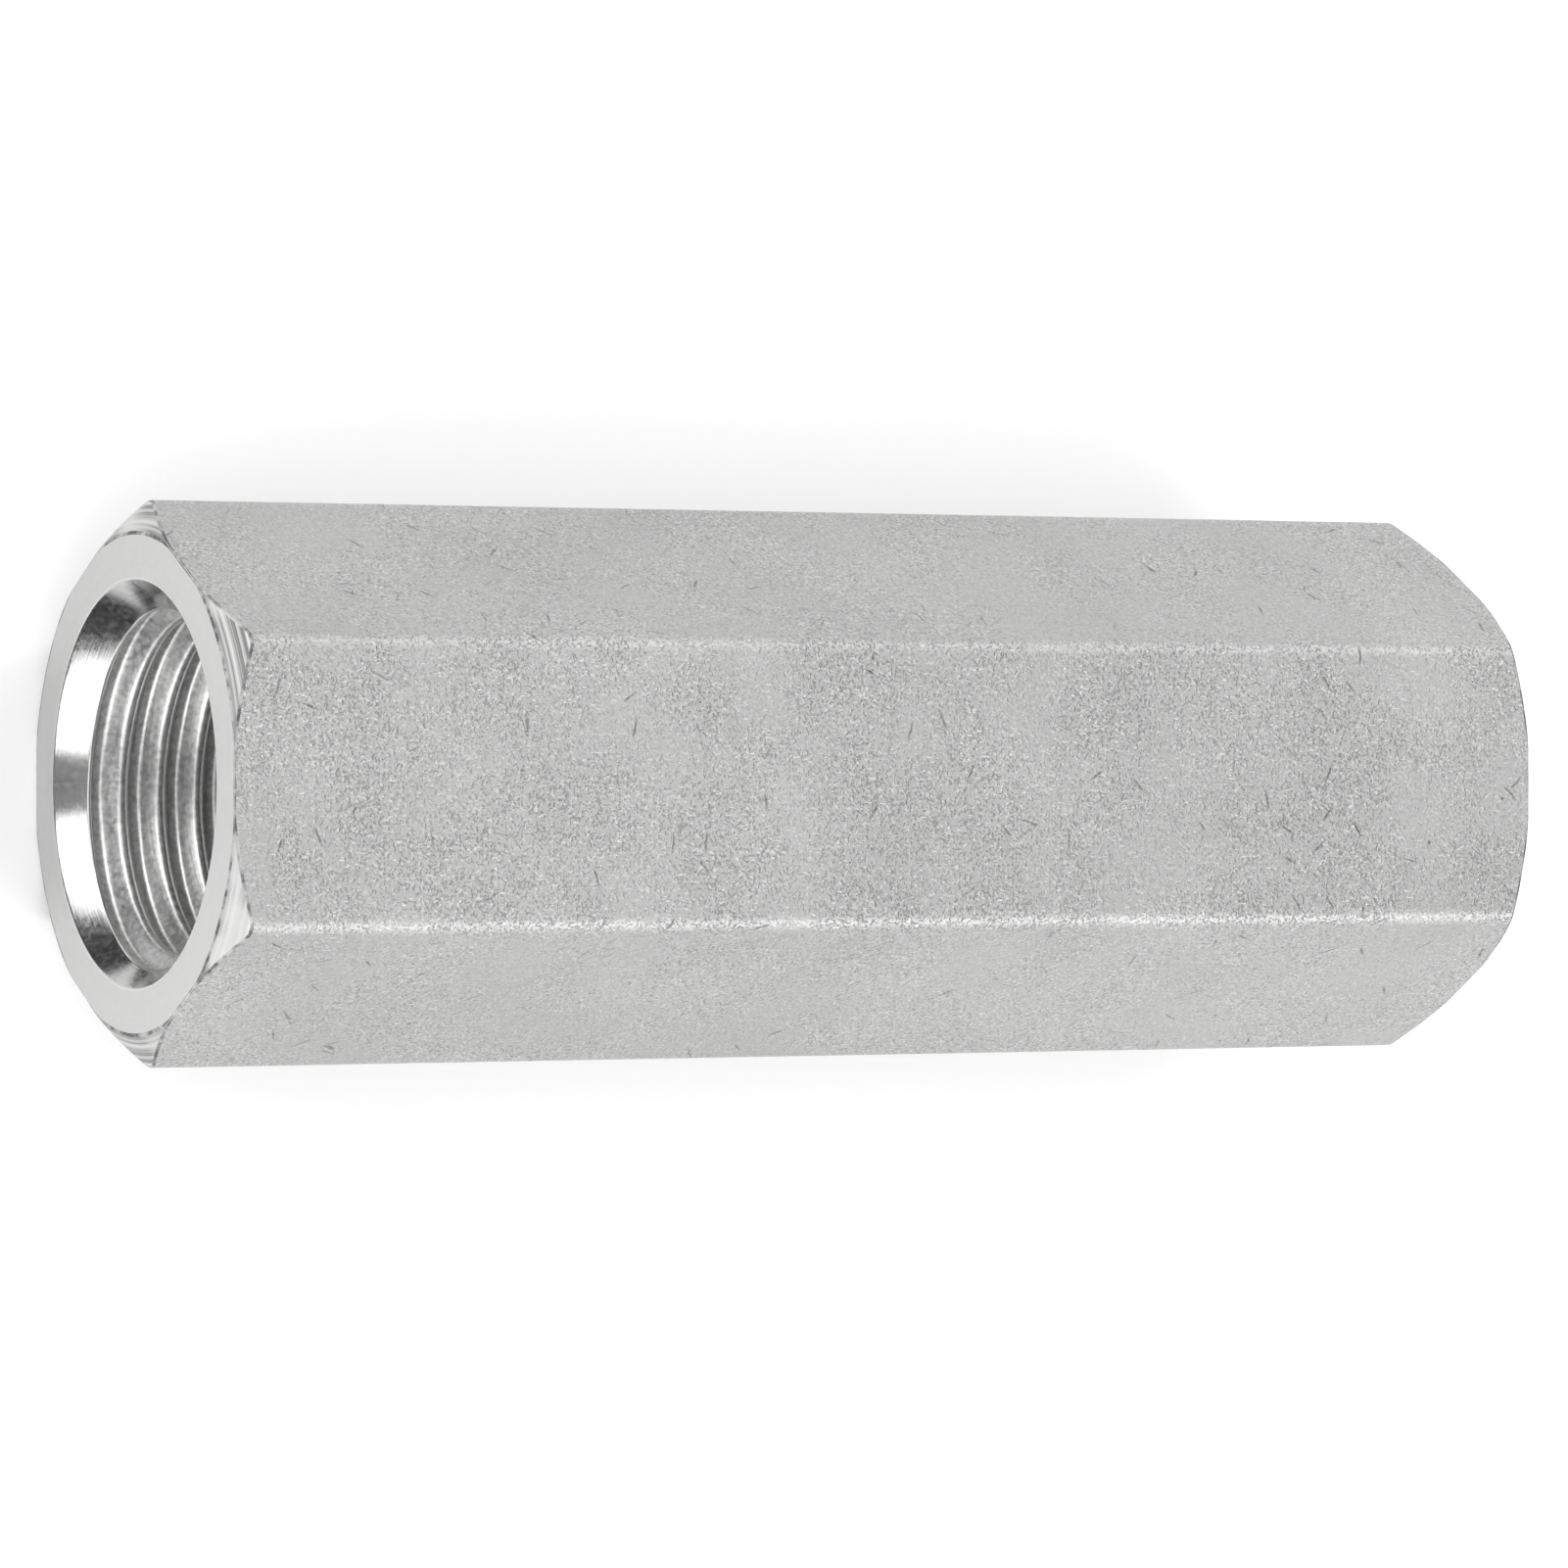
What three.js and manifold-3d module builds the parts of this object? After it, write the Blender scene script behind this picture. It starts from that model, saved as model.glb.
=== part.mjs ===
// A hexagonal pipe coupling: one bar of stainless steel, drilled through and tapped at both ends.
// The bore runs along X, two wrench flats face up and down, and the origin is the middle of the bar.
// All sizes are in millimetres and all angles in radians.

import * as THREE from "three";
import { mergeVertices } from "three/addons/utils/BufferGeometryUtils.js";
import Module from "manifold-3d";

// The bar.
const ACROSS_FLATS = 17;
const LENGTH = 51.2;
const CORNER_RADIUS = 0.45;
const END_FACE_RADIUS = 8.57;
const END_CHAMFER = THREE.MathUtils.degToRad(30);

// The drilled hole, and the tapered pipe thread of 18 turns to the inch that is cut in each end.
const BORE_RADIUS = 5.56;
const MOUTH_RADIUS = 7;
const MOUTH_HALF_ANGLE = THREE.MathUtils.degToRad(39);
const PITCH = 25.4 / 18;
const TAPER = 1 / 32;
const CREST_RADIUS = 5.87;
const ROOT_RADIUS = 6.8;
const ROOT_FLAT = 0.06;
const FLANK_HALF_ANGLE = THREE.MathUtils.degToRad(30);
const FIRST_GROOVE = 1.42;
const THREAD_DEPTH = 14;
const RUN_OUT_TURNS = 1;

// How finely round shapes are divided, and how far a cutting solid reaches past what it cuts.
const BODY_SEGMENTS = 60;
const BORE_SEGMENTS = 24;
const CORNER_STEPS = 4;
const OVERCUT = 1;
const TOOTH_OVERCUT = 0.15;

const HALF_LENGTH = LENGTH / 2;
const CORNER_ANGLE = Math.PI / 3;

const wasm = await Module();
wasm.setup();

function solid(geometry) {
  const bare = geometry.clone();
  bare.deleteAttribute("normal");
  bare.deleteAttribute("uv");
  const merged = mergeVertices(bare, 1e-4);
  const vertProperties = new Float32Array(merged.attributes.position.array);
  const triVerts = new Uint32Array(merged.index.array);
  return new wasm.Manifold(new wasm.Mesh({ numProp: 3, vertProperties, triVerts }));
}

function geometryOf(manifold) {
  const mesh = manifold.getMesh();
  const geometry = new THREE.BufferGeometry();
  geometry.setAttribute("position", new THREE.BufferAttribute(mesh.vertProperties, 3));
  geometry.setIndex(new THREE.BufferAttribute(mesh.triVerts, 1));
  geometry.computeVertexNormals();
  return geometry;
}

// A solid turned about the Z axis, from points given as [radius, height] from one end to the other.
// Its facets start half a step round, so that none of its edges lie along those of the thread groove.
function turned(outline, segments) {
  const points = outline.map(([radius, height]) => new THREE.Vector2(radius, height));
  return new THREE.LatheGeometry(points, segments, Math.PI / segments).rotateX(Math.PI / 2);
}

// The bar's section, a hexagon with lightly rounded corners and two flats square to the X axis.
function hexagon() {
  const cornerCentre = ACROSS_FLATS / 2 / Math.cos(CORNER_ANGLE / 2)
    - CORNER_RADIUS / Math.cos(CORNER_ANGLE / 2);
  const outline = [];
  for (let corner = 0; corner < 6; corner += 1) {
    const towards = (corner + 0.5) * CORNER_ANGLE;
    const centre = new THREE.Vector2(Math.cos(towards), Math.sin(towards)).multiplyScalar(cornerCentre);
    for (let step = 0; step <= CORNER_STEPS; step += 1) {
      const turn = towards + (step / CORNER_STEPS - 0.5) * CORNER_ANGLE;
      const edge = new THREE.Vector2(Math.cos(turn), Math.sin(turn)).multiplyScalar(CORNER_RADIUS);
      outline.push(edge.add(centre));
    }
  }
  return new THREE.Shape(outline);
}

// The hexagonal bar, cut to length with the corners turned off at both ends.
function bar() {
  const depth = LENGTH + 2 * OVERCUT;
  const stock = new THREE.ExtrudeGeometry(hexagon(), { depth, bevelEnabled: false });
  stock.translate(0, 0, -depth / 2);
  const outerRadius = ACROSS_FLATS;
  const chamferHeight = (outerRadius - END_FACE_RADIUS) * Math.tan(END_CHAMFER);
  const envelope = turned([
    [0, -HALF_LENGTH],
    [END_FACE_RADIUS, -HALF_LENGTH],
    [outerRadius, -HALF_LENGTH + chamferHeight],
    [outerRadius, HALF_LENGTH - chamferHeight],
    [END_FACE_RADIUS, HALF_LENGTH],
    [0, HALF_LENGTH],
  ], BODY_SEGMENTS);
  return solid(stock).intersect(solid(envelope));
}

// The hole: a plain bore, reamed to the thread's taper and opened to a cone at each mouth.
function bore() {
  const reamedDepth = (CREST_RADIUS - BORE_RADIUS) / TAPER;
  const mouthSlope = Math.tan(MOUTH_HALF_ANGLE);
  const mouthDepth = (MOUTH_RADIUS - CREST_RADIUS) / (mouthSlope - TAPER);
  const oneEnd = [
    [MOUTH_RADIUS + OVERCUT * mouthSlope, -HALF_LENGTH - OVERCUT],
    [CREST_RADIUS - TAPER * mouthDepth, -HALF_LENGTH + mouthDepth],
    [BORE_RADIUS, -HALF_LENGTH + reamedDepth],
  ];
  const otherEnd = oneEnd.map(([radius, height]) => [radius, -height]).reverse();
  const start = [0, -HALF_LENGTH - OVERCUT];
  const finish = [0, HALF_LENGTH + OVERCUT];
  return solid(turned([start, ...oneEnd, ...otherEnd, finish], BORE_SEGMENTS));
}

// The thread groove of one end, a ridge wound up a tapering right-hand helix from outside the mouth.
// It is extruded straight, with the distance along the bore as x, the radius as y and the angle as z.
function threadGroove() {
  const innerRadius = CREST_RADIUS - TOOTH_OVERCUT;
  const halfRoot = ROOT_FLAT / 2;
  const halfMouth = halfRoot + (ROOT_RADIUS - innerRadius) * Math.tan(FLANK_HALF_ANGLE);
  const tooth = new THREE.Shape([
    new THREE.Vector2(-halfMouth, innerRadius),
    new THREE.Vector2(halfMouth, innerRadius),
    new THREE.Vector2(halfRoot, ROOT_RADIUS),
    new THREE.Vector2(-halfRoot, ROOT_RADIUS),
  ]);
  const turnsBefore = Math.ceil((FIRST_GROOVE + PITCH) / PITCH);
  const turns = turnsBefore + Math.round((THREAD_DEPTH - FIRST_GROOVE) / PITCH);
  const ridge = new THREE.ExtrudeGeometry(tooth, {
    depth: turns,
    steps: turns * BORE_SEGMENTS,
    bevelEnabled: false,
  });
  const place = ridge.attributes.position;
  for (let index = 0; index < place.count; index += 1) {
    const turn = place.getZ(index) - turnsBefore;
    const height = FIRST_GROOVE + PITCH * turn + place.getX(index);
    const turnsLeft = turns - place.getZ(index);
    const lift = (ROOT_RADIUS - innerRadius) * Math.max(0, 1 - turnsLeft / RUN_OUT_TURNS);
    const radius = place.getY(index) - lift - TAPER * height;
    const angle = 2 * Math.PI * turn;
    place.setXYZ(index, radius * Math.cos(angle), radius * Math.sin(angle), height - HALF_LENGTH);
  }
  return ridge;
}

function couplingBody() {
  const groove = threadGroove();
  const otherGroove = groove.clone().rotateY(Math.PI);
  const tapped = bar().subtract(bore()).subtract(solid(groove)).subtract(solid(otherGroove));
  return geometryOf(tapped);
}

const steel = new THREE.MeshStandardMaterial({ color: 0xb9b9b8, metalness: 1, roughness: 0.42 });

const coupling = new THREE.Group();
const body = new THREE.Mesh(couplingBody(), steel);
body.name = "coupling_body";
body.rotation.y = Math.PI / 2;
coupling.add(body);

export default coupling;
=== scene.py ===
"""A long hexagonal pipe coupling of stainless steel, lying on one of its wrench flats in a plain studio."""

import math

import bmesh
import bpy
import numpy as np
from mathutils import Matrix, Vector


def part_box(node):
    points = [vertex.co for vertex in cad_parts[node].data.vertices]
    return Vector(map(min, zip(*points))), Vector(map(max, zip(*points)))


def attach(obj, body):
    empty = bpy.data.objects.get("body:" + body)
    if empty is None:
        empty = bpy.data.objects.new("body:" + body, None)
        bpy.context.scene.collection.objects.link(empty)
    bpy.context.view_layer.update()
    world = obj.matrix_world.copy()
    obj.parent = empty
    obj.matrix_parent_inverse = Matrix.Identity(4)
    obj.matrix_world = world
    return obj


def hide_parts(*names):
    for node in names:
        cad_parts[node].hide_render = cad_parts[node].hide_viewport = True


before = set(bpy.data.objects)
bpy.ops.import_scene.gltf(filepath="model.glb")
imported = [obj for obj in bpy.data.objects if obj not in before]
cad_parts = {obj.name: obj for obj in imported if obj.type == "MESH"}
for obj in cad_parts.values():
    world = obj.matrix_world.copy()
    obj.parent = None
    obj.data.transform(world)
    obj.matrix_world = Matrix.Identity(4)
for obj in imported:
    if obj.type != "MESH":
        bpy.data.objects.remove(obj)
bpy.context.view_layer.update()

# The bar, in millimetres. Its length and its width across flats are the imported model's own.
MM = 0.001
LOW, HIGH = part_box("coupling_body")
HALF_LENGTH = HIGH.x / MM
FLAT_DISTANCE = HIGH.z / MM
CORNER_RADIUS = 0.8
END_FACE_RADIUS = 8.57
END_CHAMFER = math.radians(30)
EDGE_BREAK = 0.06

# The bore and its tapered pipe threads, in millimetres, measured inwards from the mouth.
BORE_RADIUS = 5.56
MOUTH_RADIUS = 7.0
MOUTH_HALF_ANGLE = math.radians(39)
MOUTH_BREAK = 0.05
PITCH = 25.4 / 18
TAPER = 1 / 32
CREST_RADIUS = 5.87
ROOT_RADIUS = 6.45
ROOT_FLAT = 0.30
FLANK_HALF_ANGLE = math.radians(37)
ROOT_ROUNDING = 0.10
CREST_ROUNDING = 0.10
FIRST_GROOVE = 1.42
THREAD_DEPTH = 14.0
RUN_OUT = PITCH

# The width over which the valley between the mouth's cone and the thread is rounded.
BLEND = 0.04

# How finely the surfaces are divided, and how close to each other points are made one, in millimetres.
FLAT_COLUMNS = 8
CORNER_COLUMNS = 5
SUPPORT = 0.04
LENGTH_ROWS = 24
FACE_ROWS = 8
CHAMFER_ROWS = 6
BORE_ROWS = 12
FLANK_ROWS = 3
ROUNDING_STEPS = 3
MERGE = 0.0005
ARC_SHARE = 0.35
LONGEST_CHAMFER_ARC = 0.2

SECTORS = 6
SECTOR = 2 * math.pi / SECTORS

# Where the camera stands: on the side of the visible mouth and well above it.
VIEW_TILT = math.radians(28.11)
CAMERA_DISTANCE = 0.2810
CAMERA_SLIDE = -0.00038
LENS = 181.2
SENSOR = 36.0

# The studio, in metres. A softbox's or the sky's brightness is that of its own surface, with white at 1.
FLOOR_SIZE = 6
FLOOR_GLOW = 0.06
SKY_BRIGHTNESS = 0.35
OVERHEAD_BRIGHTNESS = 0.98
LEFT_BRIGHTNESS = 2.2
RIGHT_BRIGHTNESS = 2.5
RIGHT_FRONT_EXTRA = 0.5
FLAG_GAP = 0.0004
FLAG_LENGTH = 0.025
FLAG_HEIGHT = 0.0035


# ---------------------------------------------------------------- shape

def column_angles():
    """Angles round the axis, from the bottom flat's middle towards +Y, close together at the corners."""
    corner_start = (FLAT_DISTANCE - CORNER_RADIUS) * math.tan(SECTOR / 2)
    along_flat = np.linspace(0, corner_start - SUPPORT, FLAT_COLUMNS)
    flat_angles = np.arctan2(np.append(along_flat, corner_start), FLAT_DISTANCE)
    corner_angles = np.linspace(flat_angles[-1], SECTOR / 2, CORNER_COLUMNS + 1)[1:]
    half = np.concatenate([flat_angles, corner_angles])
    sector = np.concatenate([half, SECTOR - half[-2:0:-1]])
    return np.concatenate([sector + SECTOR * k for k in range(SECTORS)])


def hexagon_radius(angle):
    """The hexagon's radius at an angle, with its corners rounded."""
    from_flat = (angle + SECTOR / 2) % SECTOR - SECTOR / 2
    from_corner = SECTOR / 2 - np.abs(from_flat)
    centre = (FLAT_DISTANCE - CORNER_RADIUS) / math.cos(SECTOR / 2)
    inside = CORNER_RADIUS**2 - (centre * np.sin(from_corner)) ** 2
    rounded = centre * np.cos(from_corner) + np.sqrt(np.maximum(inside, 0))
    corner_start = (FLAT_DISTANCE - CORNER_RADIUS) * math.tan(SECTOR / 2)
    on_flat = np.abs(from_flat) <= math.atan2(corner_start, FLAT_DISTANCE) + 1e-9
    return np.where(on_flat, FLAT_DISTANCE / np.cos(from_flat), rounded)


def rounded_corner(before, corner, after, cut):
    """Points of a rounded corner between two straight stretches, each cut back by the given length."""
    start = corner + cut * (before - corner) / np.linalg.norm(before - corner, axis=-1, keepdims=True)
    end = corner + cut * (after - corner) / np.linalg.norm(after - corner, axis=-1, keepdims=True)
    steps = np.linspace(0, 1, ROUNDING_STEPS + 1)
    return [(1 - t) ** 2 * start + 2 * t * (1 - t) * corner + t**2 * end for t in steps]


def stretch(start, end, rows):
    """Evenly spaced points strictly between two others."""
    return [start + (end - start) * (k / (rows + 1)) for k in range(1, rows + 1)]


def pair(depth, radius):
    """Depth below the end face and radius, for every column."""
    return np.stack(np.broadcast_arrays(np.asarray(depth, float), radius), axis=-1)


def smooth_max(a, b, width):
    """The larger of two surfaces, with the valley where they cross rounded over the given width."""
    overlap = np.maximum(width - np.abs(a - b), 0) / width
    return np.maximum(a, b) + overlap**2 * width / 4


def thread_section():
    """One pitch of the groove's section, as distances along the axis and heights above the crest."""
    depth = ROOT_RADIUS - CREST_RADIUS
    opening = ROOT_FLAT / 2 + depth * math.tan(FLANK_HALF_ANGLE)
    middle = np.array([0.0, depth])
    root = np.array([ROOT_FLAT / 2, depth])
    crest = np.array([opening, 0.0])
    end = np.array([PITCH / 2, 0.0])
    root_arc = rounded_corner(middle, root, crest, min(ROOT_ROUNDING, ROOT_FLAT / 2))
    crest_arc = rounded_corner(root, crest, end, CREST_ROUNDING)
    half = [middle] + root_arc + stretch(root_arc[-1], crest_arc[0], FLANK_ROWS) + crest_arc
    half += stretch(crest_arc[-1], end, 1) + [end]
    half = np.array(half)
    other = half[1:-1][::-1] * [-1, 1]
    section = np.concatenate([other, half])
    keep = np.append(True, np.diff(section[:, 0]) > 1e-6)
    return section[keep]


def cone_radius(depth):
    return MOUTH_RADIUS - depth * math.tan(MOUTH_HALF_ANGLE)


def hole_radius(depth, groove_height):
    """The hole's radius below the end face, where the thread groove has the given height."""
    reamed = np.maximum(CREST_RADIUS - TAPER * depth, BORE_RADIUS)
    fade = np.clip((THREAD_DEPTH - depth) / RUN_OUT, 0, 1)
    fade = fade * fade * (3 - 2 * fade)
    return smooth_max(cone_radius(depth), reamed + groove_height * fade, BLEND)


class Skin:
    """Collects grids of points, as cylinder coordinates about the X axis, into one mesh."""

    def __init__(self, angles):
        self.angles = angles
        self.points = []
        self.faces = []
        self.finishes = []
        self.count = 0

    def add(self, rows, finish, turned_round=False, shift=0):
        """Adds a grid of (depth, radius) rows. shift is how many rows on the last column meets the first.

        The finish is one for the whole grid, or one for each of its points.
        """
        grid = np.stack(rows)
        depth = grid[..., 0]
        radius = grid[..., 1]
        points = np.stack([
            depth - HALF_LENGTH,
            radius * np.sin(self.angles),
            -radius * np.cos(self.angles),
        ], axis=-1)
        if turned_round:
            points = points * [-1, 1, -1]
        height, width = depth.shape
        number = self.count + np.arange(height * width).reshape(height, width)
        inner = np.stack([
            number[:-1, :-1], number[:-1, 1:], number[1:, 1:], number[1:, :-1],
        ], axis=-1).reshape(-1, 4)
        last = number[: height - shift, -1]
        first = number[shift:, 0]
        seam = np.stack([last[:-1], first[:-1], first[1:], last[1:]], axis=-1)
        faces = np.concatenate([inner, seam])
        finish = np.broadcast_to(finish, depth.shape).ravel()
        self.points.append(points.reshape(-1, 3))
        self.faces.append(faces)
        self.finishes.append(finish[faces[:, 0] - self.count])
        self.count += height * width

    def mesh(self, name):
        """One closed mesh, in metres."""
        points = np.concatenate(self.points) * MM
        faces = np.concatenate(self.faces)
        finishes = np.concatenate(self.finishes)
        mesh = bpy.data.meshes.new(name)
        mesh.from_pydata(points.tolist(), [], faces.tolist())
        mesh.polygons.foreach_set("material_index", finishes.astype(np.int32))
        shape = bmesh.new()
        shape.from_mesh(mesh)
        bmesh.ops.remove_doubles(shape, verts=shape.verts, dist=MERGE * MM)
        bmesh.ops.dissolve_degenerate(shape, edges=shape.edges, dist=MERGE * MM / 4)
        bmesh.ops.recalc_face_normals(shape, faces=shape.faces)
        for face in shape.faces:
            face.smooth = True
        shape.to_mesh(mesh)
        shape.free()
        return mesh


FLATS, END_FACE, CHAMFER, EDGE, THREAD, BORE = range(6)


def add_end(skin, turned_round):
    """One end of the coupling: mouth, end face, chamfer and thread, up to the plain bore."""
    angles = skin.angles
    outer = hexagon_radius(math.pi - angles if turned_round else angles)
    face_radius = np.minimum(END_FACE_RADIUS, outer - EDGE_BREAK)
    chamfer_depth = (outer - face_radius) * math.tan(END_CHAMFER)

    mouth_slope = math.tan(MOUTH_HALF_ANGLE)
    rim = pair(0, np.full_like(angles, MOUTH_RADIUS))
    in_mouth = pair(1, np.full_like(angles, MOUTH_RADIUS - mouth_slope))
    face_edge = pair(0, face_radius)
    chamfer_edge = pair(chamfer_depth, outer)
    on_flat = pair(HALF_LENGTH, outer)

    chamfer_width = np.linalg.norm(chamfer_edge - face_edge, axis=-1, keepdims=True)
    cut = ARC_SHARE * np.minimum(chamfer_width, LONGEST_CHAMFER_ARC)
    rim_arc = rounded_corner(in_mouth, rim, face_edge, MOUTH_BREAK)
    face_arc = rounded_corner(rim, face_edge, chamfer_edge, cut)
    flat_arc = rounded_corner(face_edge, chamfer_edge, on_flat, cut)
    inner_support = rim_arc[-1] + [0, SUPPORT]
    outer_support = face_arc[0] - [0, SUPPORT]
    face_rows = stretch(inner_support, outer_support, FACE_ROWS)
    skin.add(rim_arc, BORE, turned_round)
    skin.add([rim_arc[-1], inner_support] + face_rows + [outer_support, face_arc[0]], END_FACE, turned_round)
    chamfer_rows = stretch(face_arc[-1], flat_arc[0], CHAMFER_ROWS)
    skin.add(face_arc, EDGE, turned_round)
    skin.add([face_arc[-1]] + chamfer_rows + [flat_arc[0]], CHAMFER, turned_round)
    skin.add(flat_arc, EDGE, turned_round)

    section = thread_section()
    shallowest = rim_arc[0][0, 0]
    turns = math.ceil((THREAD_DEPTH - FIRST_GROOVE) / PITCH) + 1
    before = math.ceil(FIRST_GROOVE / PITCH) + 1
    rows = []
    for turn in range(-before, turns + 1):
        for along, height in section:
            depth = FIRST_GROOVE + PITCH * (turn + angles / (2 * math.pi)) + along
            depth = np.clip(depth, shallowest, THREAD_DEPTH)
            rows.append(pair(depth, hole_radius(depth, height)))
    depth, radius = np.moveaxis(np.stack(rows), -1, 0)
    finish = np.where(radius <= cone_radius(depth) + BLEND / 4, BORE, THREAD)
    skin.add(rows, finish, turned_round, shift=len(section))
    return flat_arc[-1]


def coupling_mesh():
    angles = column_angles()
    skin = Skin(angles)
    left = add_end(skin, False)
    add_end(skin, True)

    flat_start = left + [SUPPORT, 0]
    flat_finish = pair(2 * HALF_LENGTH - flat_start[:, 0], flat_start[:, 1])
    finish = pair(2 * HALF_LENGTH - left[:, 0], left[:, 1])
    middle = stretch(flat_start, flat_finish, LENGTH_ROWS)
    skin.add([left, flat_start] + middle + [flat_finish, finish], FLATS)

    bore_start = pair(THREAD_DEPTH, np.full_like(angles, BORE_RADIUS))
    bore_finish = pair(2 * HALF_LENGTH - bore_start[:, 0], bore_start[:, 1])
    skin.add([bore_start] + stretch(bore_start, bore_finish, BORE_ROWS) + [bore_finish], BORE)
    return skin.mesh("coupling")


# ---------------------------------------------------------------- materials

NOISE_RANGE = (0.3, 0.7)
STEEL_BLUE = 0.994
# Where a colour Mix node keeps its two colours and its result.
MIX_A, MIX_B, MIX_RESULT = 6, 7, 2


class Finish:
    """A metal material and the few kinds of node that its texture is made from."""

    def __init__(self, name, roughness):
        self.material = bpy.data.materials.new(name)
        self.material.use_nodes = True
        self.tree = self.material.node_tree
        self.shader = self.tree.nodes["Principled BSDF"]
        self.shader.inputs["Metallic"].default_value = 1.0
        self.shader.inputs["Roughness"].default_value = roughness
        self.place = self.tree.nodes.new("ShaderNodeTexCoord").outputs["Object"]

    def node(self, kind, inputs=None, **settings):
        made = self.tree.nodes.new(kind)
        for key, value in settings.items():
            setattr(made, key, value)
        for key, value in (inputs or {}).items():
            if isinstance(value, bpy.types.NodeSocket):
                self.tree.links.new(value, made.inputs[key])
            else:
                made.inputs[key].default_value = value
        return made

    def math(self, operation, *values):
        return self.node("ShaderNodeMath", dict(enumerate(values)), operation=operation).outputs[0]

    def noise(self, place, scale, detail=2.0, roughness=0.5):
        inputs = {"Vector": place, "Scale": scale, "Detail": detail, "Roughness": roughness}
        return self.node("ShaderNodeTexNoise", inputs).outputs["Fac"]

    def scaled(self, place, scale):
        return self.node("ShaderNodeMapping", {"Vector": place, "Scale": scale}).outputs[0]

    def remap(self, value, low, high, new_low, new_high):
        inputs = {"Value": value, "From Min": low, "From Max": high, "To Min": new_low, "To Max": new_high}
        return self.node("ShaderNodeMapRange", inputs).outputs["Result"]

    def spread(self, noise, new_low=0.0, new_high=1.0):
        """A noise's usual range, made to run from one value to another."""
        return self.remap(noise, *NOISE_RANGE, new_low, new_high)

    def shades(self, value, dark, light, blue=STEEL_BLUE):
        """A grey between two levels. Steel has a trace less blue than a neutral grey."""
        mix = self.node("ShaderNodeMix", {"Factor": value}, data_type="RGBA")
        for socket, level in ((MIX_A, dark), (MIX_B, light)):
            mix.inputs[socket].default_value = (level, level, level * blue, 1.0)
        return mix.outputs[MIX_RESULT]

    def worms(self, scale, seed):
        """Short crooked lines: bands where a noise crosses its middle value, cut up by a second noise."""
        place = self.vector("ADD", self.scaled(self.place, (scale, scale, scale)), (seed, seed, seed))
        bands = self.math("ABSOLUTE", self.math("SUBTRACT", self.noise(place, 1.0, 1.0), 0.5))
        lines = self.remap(bands, 0.015, 0.09, 1.0, 0.0)
        return self.math("MULTIPLY", lines, self.remap(self.noise(place, 1.7, 1.0), 0.46, 0.54, 0.0, 1.0))

    def pits(self, scale, size):
        """Small round pits at the middles of about half the random cells."""
        cells = self.node("ShaderNodeTexVoronoi", {"Vector": self.place, "Scale": scale})
        hollow = self.remap(cells.outputs["Distance"], size * 0.5, size, 1.0, 0.0)
        return self.math("MULTIPLY", hollow, self.chosen(cells, 0.5))

    def chosen(self, cells, limit):
        """1 in the random cells whose own red value is over the limit, and 0 in the others."""
        red = self.node("ShaderNodeSeparateColor", {"Color": cells.outputs["Color"]}).outputs["Red"]
        return self.math("GREATER_THAN", red, limit)

    def strokes(self, scale, width, reach):
        """Short scratches across the middles of some random cells, each lying its own way."""
        bend = self.node("ShaderNodeTexNoise", {"Vector": self.place, "Scale": scale * 2.0, "Detail": 1.0})
        bend = self.vector("SUBTRACT", bend.outputs["Color"], (0.5, 0.5, 0.5))
        bend = self.vector("MULTIPLY", bend, (0.12, 0.12, 0.12))
        place = self.vector("ADD", self.scaled(self.place, (scale, scale, scale)), bend)
        cells = self.node("ShaderNodeTexVoronoi", {"Vector": place, "Scale": 1.0})
        local = self.vector("SUBTRACT", place, cells.outputs["Position"])
        across = self.vector("SUBTRACT", cells.outputs["Color"], (0.5, 0.5, 0.5))
        across = self.vector("NORMALIZE", across)
        offset = self.node("ShaderNodeVectorMath", {0: local, 1: across}, operation="DOT_PRODUCT")
        line = self.remap(self.math("ABSOLUTE", offset.outputs["Value"]), width * 0.4, width, 1.0, 0.0)
        ends = self.remap(cells.outputs["Distance"], reach * 0.3, reach, 1.0, 0.0)
        return self.math("MULTIPLY", self.math("MULTIPLY", line, ends), self.chosen(cells, 0.6))

    def vector(self, operation, *values):
        return self.node("ShaderNodeVectorMath", dict(enumerate(values)), operation=operation).outputs[0]

    def bump(self, height, distance, strength):
        inputs = {"Height": height, "Distance": distance, "Strength": strength}
        return self.node("ShaderNodeBump", inputs).outputs["Normal"]

    def radius(self):
        """The distance from the bore's axis."""
        parts = self.node("ShaderNodeSeparateXYZ", {"Vector": self.place})
        squares = self.math("ADD", self.math("POWER", parts.outputs["Y"], 2.0),
                            self.math("POWER", parts.outputs["Z"], 2.0))
        return self.math("SQRT", squares)

    def along(self):
        """The distance along the bore's axis."""
        return self.node("ShaderNodeSeparateXYZ", {"Vector": self.place}).outputs["X"]

    def rings(self, distance, scale, detail=3.0):
        """Noise that runs in rings or bands, along one distance only."""
        place = self.node("ShaderNodeCombineXYZ", {"X": distance}).outputs[0]
        return self.noise(place, scale, detail, 0.7)

    def link(self, value, socket):
        self.tree.links.new(value, self.shader.inputs[socket])


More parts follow.
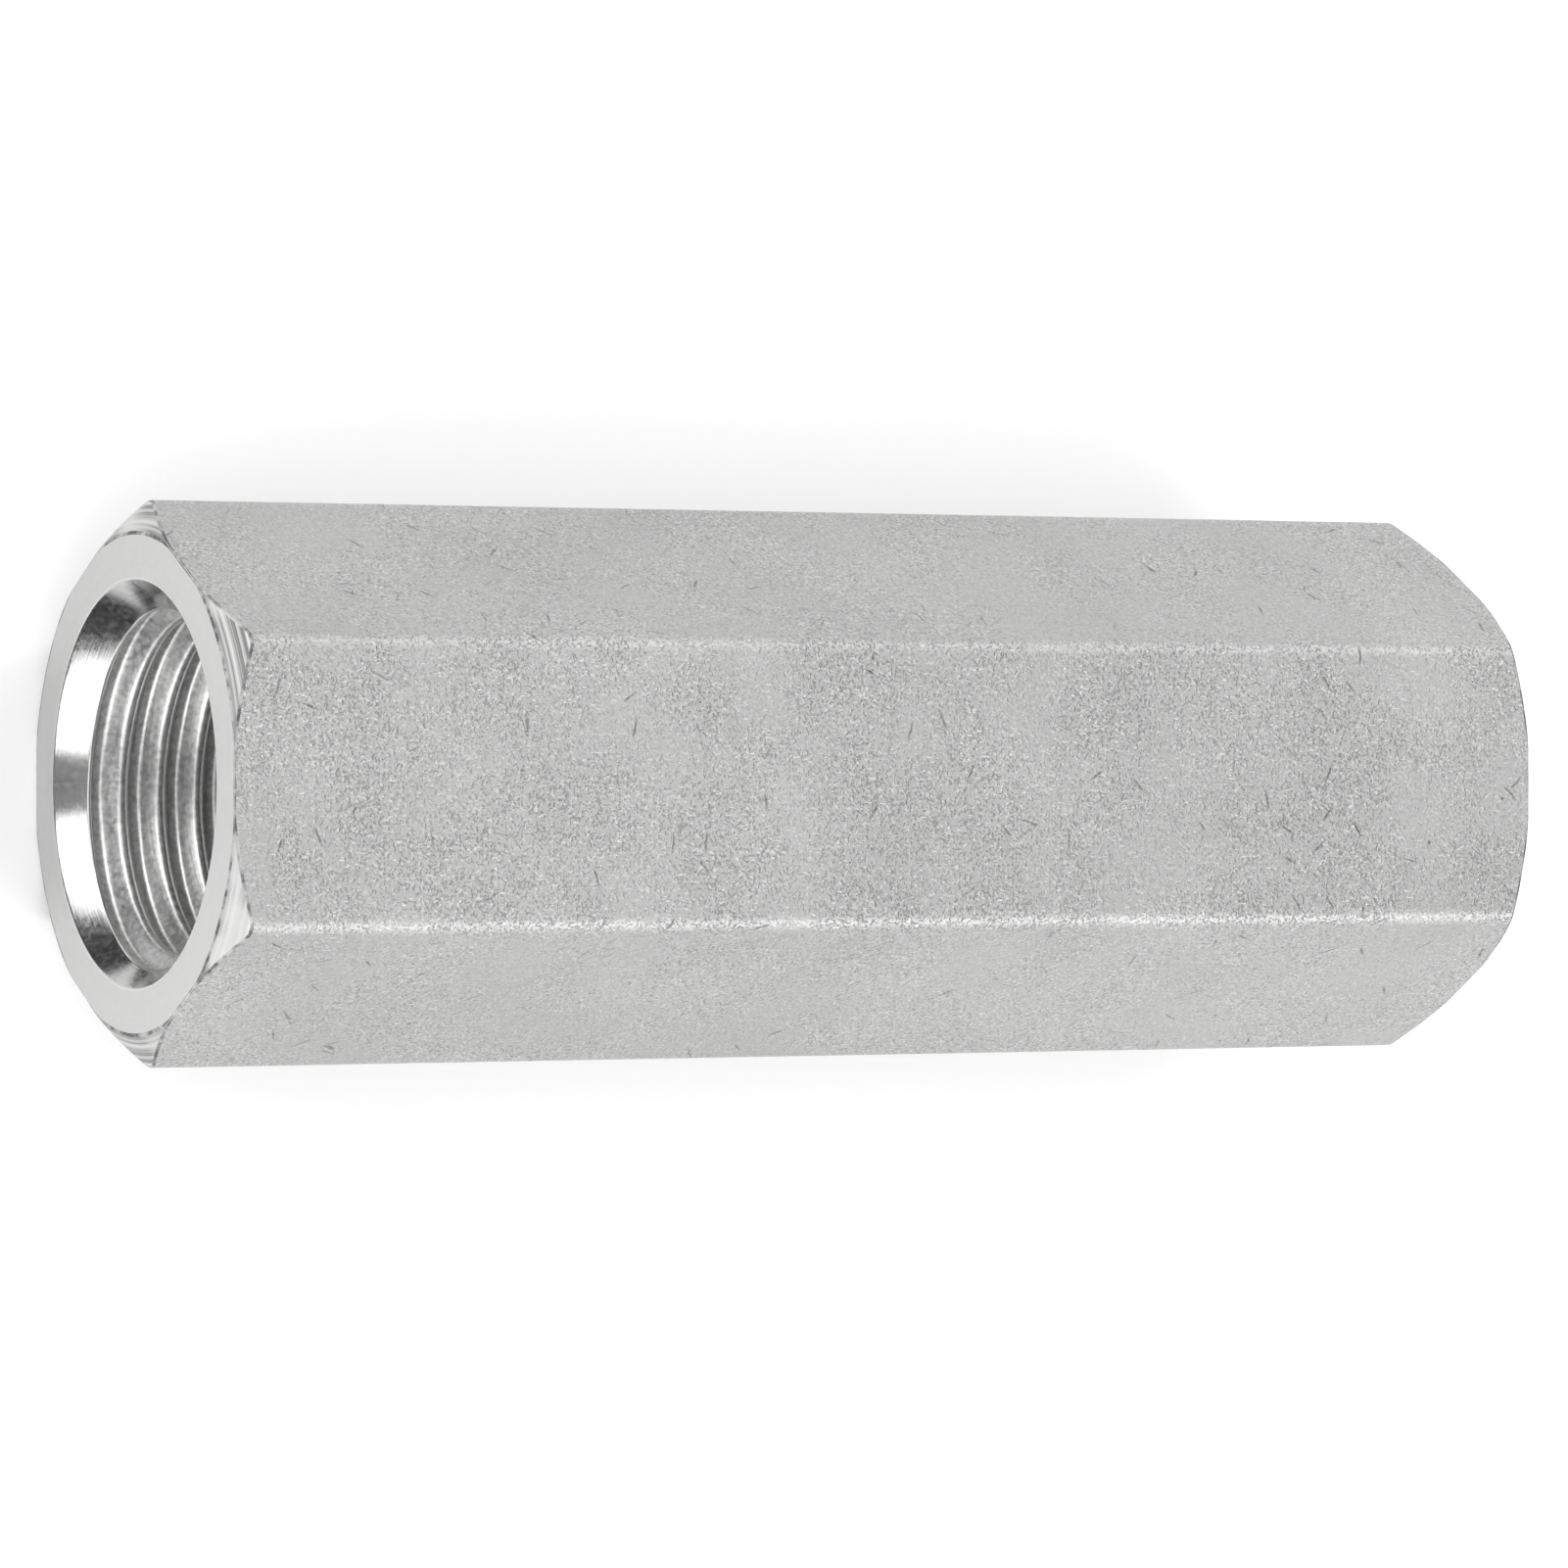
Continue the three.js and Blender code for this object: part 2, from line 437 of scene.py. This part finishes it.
def satin_flats():
    """Pickled bar stock: a crisp speckle of short crooked marks in patches, with pits and scratches."""
    finish = Finish("satin_flats", 0.45)
    light = finish.worms(4700, 0.0)
    dark = finish.worms(5200, 3.7)
    patches = finish.remap(finish.noise(finish.place, 260), 0.36, 0.56, 0.45, 1.0)
    pits = finish.pits(560, 0.045)
    scratches = finish.strokes(760, 0.035, 0.34)
    relief = finish.math("MULTIPLY", finish.math("SUBTRACT", light, dark), patches)
    dents = finish.math("MAXIMUM", pits, finish.math("MULTIPLY", scratches, 0.8))
    relief = finish.math("SUBTRACT", relief, finish.math("MULTIPLY", dents, 1.6))
    clouds = finish.spread(finish.noise(finish.place, 160), -0.12, 0.12)
    tone = finish.remap(finish.math("ADD", relief, clouds), -2.0, 1.2, 0.0, 1.0)
    finish.link(finish.shades(tone, 0.13, 0.565), "Base Color")
    finish.link(finish.remap(relief, -1.0, 1.0, 0.52, 0.38), "Roughness")
    finish.link(finish.bump(relief, 0.00002, 0.9), "Normal")
    return finish.material


def turned_face():
    """An end face off the lathe: smooth, with faint rings."""
    finish = Finish("turned_face", 0.34)
    rings = finish.rings(finish.radius(), 9000)
    grain = finish.noise(finish.place, 4200)
    tone = finish.math("MULTIPLY", finish.math("ADD", rings, grain), 0.5)
    finish.link(finish.shades(finish.spread(tone), 0.51, 0.57), "Base Color")
    finish.link(finish.spread(grain, 0.30, 0.38), "Roughness")
    finish.link(finish.bump(rings, 0.00001, 0.35), "Normal")
    return finish.material


def turned_chamfer():
    """The corners turned off at each end: bright, with coarse dark rings from the tool in places."""
    finish = Finish("turned_chamfer", 0.3)
    rings = finish.rings(finish.radius(), 4200)
    places = finish.remap(finish.noise(finish.place, 330, 1.0), 0.40, 0.54, 0.15, 1.0)
    streaks = finish.math("MULTIPLY", finish.remap(rings, 0.44, 0.56, 1.0, 0.0), places)
    finish.link(finish.shades(streaks, 0.58, 0.2), "Base Color")
    finish.link(finish.spread(rings, 0.26, 0.36), "Roughness")
    finish.link(finish.bump(rings, 0.00004, 0.7), "Normal")
    return finish.material


def worn_edge():
    """The narrow broken edges where the lathe's cuts meet the bar: dull and dark in places."""
    finish = Finish("worn_edge", 0.5)
    wear = finish.noise(finish.place, 1500, 3.0, 0.6)
    finish.link(finish.shades(finish.remap(wear, 0.40, 0.60, 0.0, 1.0), 0.12, 0.46), "Base Color")
    finish.link(finish.bump(wear, 0.00003, 0.6), "Normal")
    return finish.material


def cut_thread():
    """The thread: duller than the cone, with fine tool lines along the groove."""
    finish = Finish("cut_thread", 0.4)
    lines = finish.rings(finish.along(), 11000, 1.0)
    grain = finish.noise(finish.place, 5000, 1.0)
    finish.link(finish.shades(finish.spread(grain), 0.50, 0.72), "Base Color")
    finish.link(finish.spread(grain, 0.31, 0.40), "Roughness")
    finish.link(finish.bump(lines, 0.00001, 0.5), "Normal")
    return finish.material


def machined_bore():
    """The cone and the plain bore: bright, with fine tool lines."""
    finish = Finish("machined_bore", 0.16)
    lines = finish.rings(finish.along(), 14000)
    grain = finish.noise(finish.place, 5200, 3.0)
    finish.link(finish.shades(grain, 0.56, 0.72), "Base Color")
    finish.link(finish.spread(grain, 0.12, 0.22), "Roughness")
    finish.link(finish.bump(lines, 0.00001, 0.4), "Normal")
    return finish.material


def matt(name, roughness, dark, light):
    """A plain material for the studio, not metal, with a faint cloud of its own."""
    finish = Finish(name, roughness)
    finish.shader.inputs["Metallic"].default_value = 0.0
    finish.link(finish.shades(finish.noise(finish.place, 60), dark, light, blue=1.0), "Base Color")
    return finish


def pale_floor_material():
    finish = matt("pale_floor", 0.7, 0.86, 0.88)
    finish.shader.inputs["Emission Color"].default_value = (1, 1, 1, 1)
    finish.shader.inputs["Emission Strength"].default_value = FLOOR_GLOW
    return finish.material


# ---------------------------------------------------------------- studio

def add_floor():
    bpy.ops.mesh.primitive_plane_add(size=FLOOR_SIZE, location=(0, 0, LOW.z))
    floor = bpy.context.object
    floor.name = "floor"
    floor.data.materials.append(pale_floor_material())


def add_flag():
    """A dark card on edge before the visible mouth, in line with the bore, which only reflections see."""
    middle = (LOW.x - FLAG_GAP - FLAG_LENGTH / 2, 0, LOW.z + FLAG_HEIGHT / 2)
    bpy.ops.mesh.primitive_plane_add(size=1, location=middle, rotation=(math.pi / 2, 0, 0))
    flag = bpy.context.object
    flag.name = "flag"
    flag.scale = (FLAG_LENGTH, FLAG_HEIGHT, 1)
    flag.visible_camera = False
    flag.visible_diffuse = False
    flag.visible_shadow = False
    flag.data.materials.append(matt("dark_card", 0.9, 0.02, 0.04).material)


def add_softbox(name, place, size, brightness):
    """A rectangular light that faces the middle of the part."""
    light = bpy.data.lights.new(name, "AREA")
    light.shape = "RECTANGLE"
    light.size, light.size_y = size
    light.energy = brightness * math.pi * size[0] * size[1]
    box = bpy.data.objects.new(name, light)
    box.location = place
    box.rotation_euler = (-Vector(place)).to_track_quat("-Z", "Y").to_euler()
    bpy.context.scene.collection.objects.link(box)


def add_lights():
    add_softbox("overhead", (0.1, 0, 0.9), (2.0, 2.0), OVERHEAD_BRIGHTNESS)
    for side, name in ((1, "back"), (-1, "front")):
        right_brightness = RIGHT_BRIGHTNESS - RIGHT_FRONT_EXTRA * side
        add_softbox("left_" + name, (-0.45, 0.47 * side, 0.22), (0.7, 0.5), LEFT_BRIGHTNESS)
        add_softbox("right_" + name, (0.45, 0.62 * side, 0.38), (0.6, 0.6), right_brightness)
    world = bpy.data.worlds.new("studio")
    world.use_nodes = True
    background = world.node_tree.nodes["Background"]
    background.inputs["Color"].default_value = (1, 1, 1, 1)
    background.inputs["Strength"].default_value = SKY_BRIGHTNESS
    bpy.context.scene.world = world


def add_camera():
    forward = Vector((math.sin(VIEW_TILT), 0, -math.cos(VIEW_TILT)))
    right = Vector((math.cos(VIEW_TILT), 0, math.sin(VIEW_TILT)))
    up = Vector((0, 1, 0))
    data = bpy.data.cameras.new("camera")
    data.lens = LENS
    data.sensor_width = SENSOR
    data.clip_start = 0.01
    camera = bpy.data.objects.new("camera", data)
    turn = Matrix((right, up, -forward)).transposed()
    place = -CAMERA_DISTANCE * forward + CAMERA_SLIDE * right
    camera.matrix_world = Matrix.Translation(place) @ turn.to_4x4()
    bpy.context.scene.collection.objects.link(camera)
    bpy.context.scene.camera = camera


def add_coupling():
    mesh = coupling_mesh()
    for make in (satin_flats, turned_face, turned_chamfer, worn_edge, cut_thread, machined_bore):
        mesh.materials.append(make())
    coupling = bpy.data.objects.new("coupling", mesh)
    bpy.context.scene.collection.objects.link(coupling)
    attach(coupling, "root")
    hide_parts("coupling_body")


bpy.context.scene.view_settings.view_transform = "Standard"
add_camera()
add_lights()
add_floor()
add_flag()
add_coupling()
